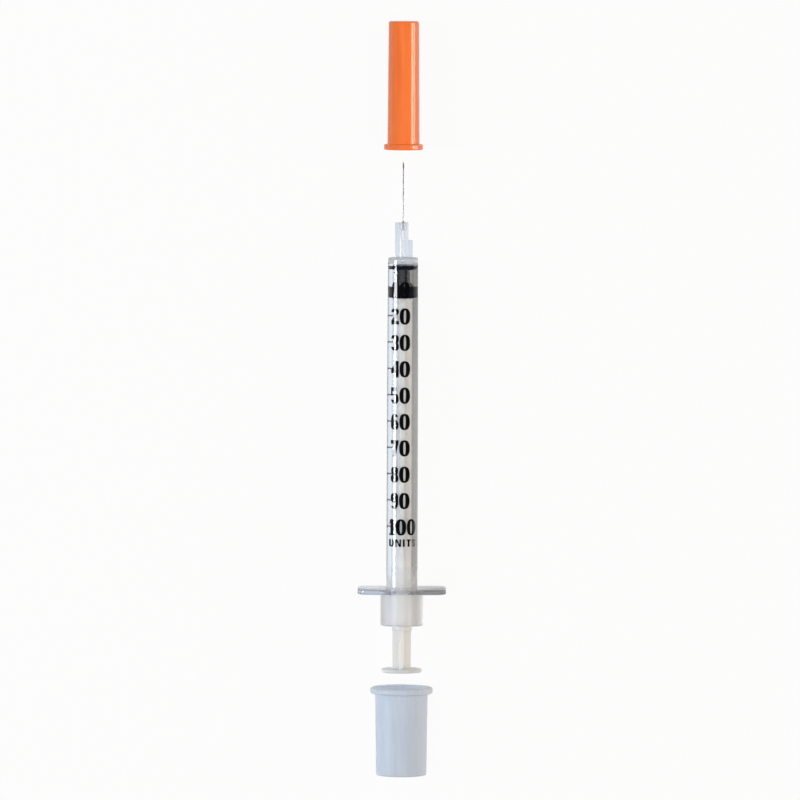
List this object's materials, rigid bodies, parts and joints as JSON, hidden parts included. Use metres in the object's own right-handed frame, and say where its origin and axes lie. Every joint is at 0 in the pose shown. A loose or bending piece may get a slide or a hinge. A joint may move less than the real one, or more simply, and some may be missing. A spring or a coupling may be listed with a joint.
{
  "type": "insulin syringe",
  "caption": "Insulin syringe with fixed needle, printed unit scale, sliding plunger, and a needle shield and plunger cap that pull off.",
  "frame": {"origin": "on the barrel's axis, in the face of the finger flange that looks towards the needle", "axes": "+Y along the barrel towards the needle, +Z out of the front that carries the numerals, +X to the right with the numerals upright"},
  "size_m": [0.019, 0.1623, 0.0134],
  "materials": {
    "clear_polypropylene": "clarified polypropylene, injection moulded and polished",
    "stainless_cannula": "drawn stainless steel tube, bright",
    "clear_adhesive": "cured clear adhesive",
    "black_ink": "printed black ink",
    "black_rubber": "moulded black rubber with a film of silicone oil",
    "white_polypropylene": "white polypropylene, satin as moulded",
    "orange_polyethylene": "orange polyethylene, glossy as moulded",
    "milky_polyethylene": "bluish white translucent polyethylene, satin as moulded"
  },
  "bodies": {
    "barrel_body": {"barrel": "clear_polypropylene", "cannula": "stainless_cannula", "needle_adhesive": "clear_adhesive", "graduation_lines": "black_ink", "scale_numerals": "black_ink", "unit_legend": "black_ink"},
    "plunger_body": {"plunger_rod": "white_polypropylene", "stopper": "black_rubber"},
    "shield_body": {"needle_shield": "orange_polyethylene"},
    "cap_body": {"plunger_cap": "milky_polyethylene"}
  },
  "joints": [
    {"name": "plunger_slide", "type": "slide", "parent": "barrel_body", "child": "plunger_body", "axis": [0, -1, 0], "range_m": [-0.00048, 0.0618]},
    {"name": "shield_slide", "type": "slide", "parent": "barrel_body", "child": "shield_body", "axis": [0, -1, 0], "range_m": [0, 0.02305]},
    {"name": "cap_slide", "type": "slide", "parent": "plunger_body", "child": "cap_body", "axis": [0, 1, 0], "range_m": [0, 0.0198]}
  ]
}
